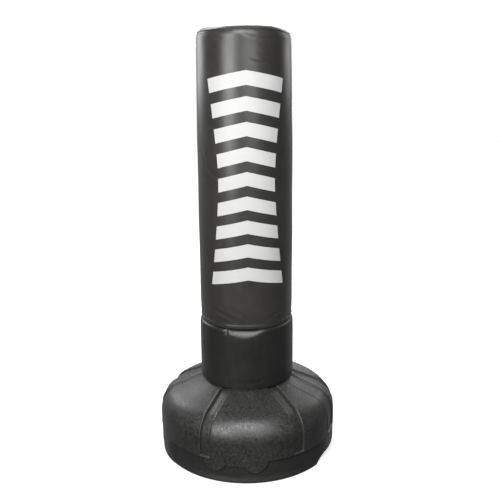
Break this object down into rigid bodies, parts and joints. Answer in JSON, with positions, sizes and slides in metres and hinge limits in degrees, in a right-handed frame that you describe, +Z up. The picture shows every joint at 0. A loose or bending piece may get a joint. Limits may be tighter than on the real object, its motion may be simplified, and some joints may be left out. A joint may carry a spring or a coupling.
{
  "type": "free-standing training bag",
  "caption": "Padded cylindrical training bag that drops over a neck post on a round, fillable moulded base, with a padded collar between the two.",
  "frame": {"origin": "on the floor at the centre of the round base", "axes": "+Z up along the post, -Y towards the printed front, +X to the front's right"},
  "size_m": [0.612, 0.612, 1.429],
  "materials": {
    "base_plastic": "satin textured",
    "cap_plastic": "satin",
    "core_plastic": "satin",
    "bush_nylon": "satin",
    "coil_plastic": "gloss",
    "sand": "matte",
    "seal_rubber": "matte",
    "post_steel": "powder coat",
    "bright_steel": "brushed",
    "zip_metal": "polished",
    "foam": "matte foam",
    "bag_vinyl": "satin coated",
    "collar_vinyl": "satin coated",
    "print": "printed",
    "webbing": "woven"
  },
  "bodies": {
    "base": {"base_tank": "base_plastic", "ballast_fill": "sand", "neck_post": "post_steel", "post_foot_plug": "cap_plastic", "post_retainer": "cap_plastic", "retainer_screws": "bright_steel", "post_cap": "cap_plastic", "height_peg": "bright_steel", "peg_ring": "seal_rubber", "collar_foam": "foam", "collar_cover": "collar_vinyl", "collar_closure": "webbing"},
    "cap_seal": {"filler_gasket": "seal_rubber"},
    "filler_cap": {"filler_cap": "cap_plastic"},
    "bag": {"core_tube": "core_plastic", "core_top_plug": "cap_plastic", "lower_bush": "bush_nylon", "upper_bush": "bush_nylon", "bag_foam": "foam", "crown_pad": "foam", "cover_side": "bag_vinyl", "cover_top": "bag_vinyl", "cover_bottom": "bag_vinyl", "top_welt": "bag_vinyl", "bottom_welt": "bag_vinyl", "zip_tape": "webbing", "zip_coil": "coil_plastic", "zip_top_stop": "zip_metal", "zip_bottom_stop": "zip_metal"},
    "zip_slider": {"zip_slider": "zip_metal"},
    "zip_pull": {"zip_pull": "zip_metal"}
  },
  "joints": [
    {"name": "bag_lift", "type": "slide", "parent": "base", "child": "bag", "axis": [0, 0, 1], "range_m": [0, 0.42]},
    {"name": "cap_rise", "type": "slide", "parent": "base", "child": "cap_seal", "axis": [0, 0.3827, 0.9239], "range_m": [0, 0.01205]},
    {"name": "cap_turn", "type": "hinge", "parent": "cap_seal", "child": "filler_cap", "pos_m": [0, 0.216, 0.22773], "axis": [0, 0.3827, 0.9239], "range_deg": [0, 720]},
    {"name": "zip_run", "type": "slide", "parent": "bag", "child": "zip_slider", "axis": [0, 0.0022, -1], "range_m": [0, 0.83]},
    {"name": "zip_pull_swing", "type": "hinge", "parent": "zip_slider", "child": "zip_pull", "pos_m": [0, 0.16398, 1.34802], "axis": [1, 0, 0], "range_deg": [0, 170]}
  ],
  "couplings": [
    {"joint": "cap_rise", "follows": "cap_turn", "m_per_rad": 0.00095493}
  ]
}
